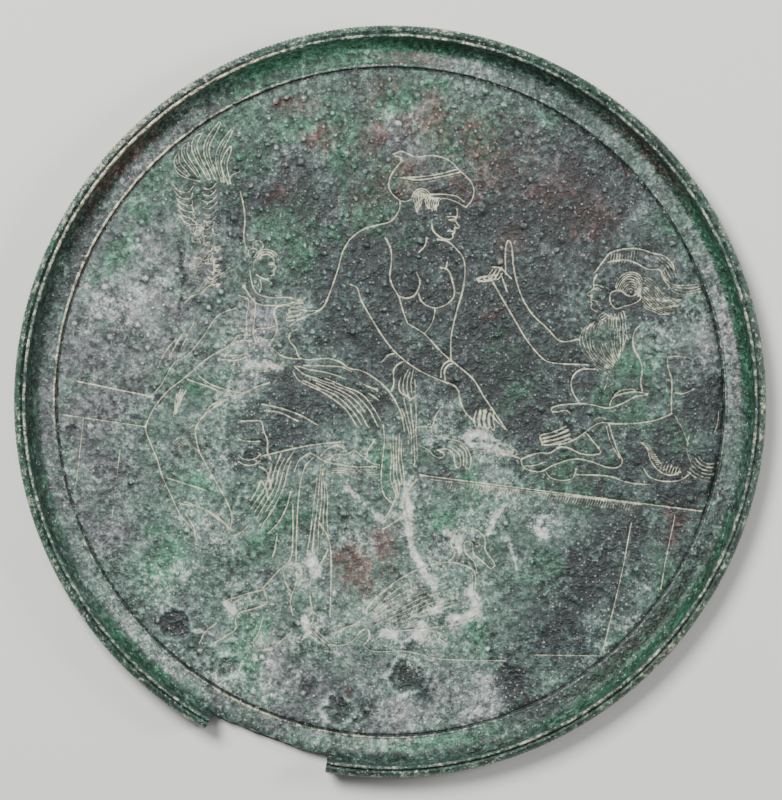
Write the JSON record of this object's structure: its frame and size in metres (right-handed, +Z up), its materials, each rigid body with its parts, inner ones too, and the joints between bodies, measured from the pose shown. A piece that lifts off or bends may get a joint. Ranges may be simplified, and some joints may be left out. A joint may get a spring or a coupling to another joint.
{
  "type": "box mirror cover",
  "caption": "Round bronze cover of an ancient box mirror, a shallow dish with a moulded rim and a figure scene engraved inside, one stretch of rim broken away.",
  "frame": {"origin": "middle of the plane that the foot ring rests on", "axes": "+Z up, out of the engraved side; +Y towards the top of the engraved scene; +X to its right"},
  "size_m": [0.185, 0.185, 0.009],
  "materials": {
    "bronze": "old bronze under a mottled grey-green patina, satin to matt"
  },
  "bodies": {
    "root": {"cover": "bronze"}
  },
  "joints": []
}
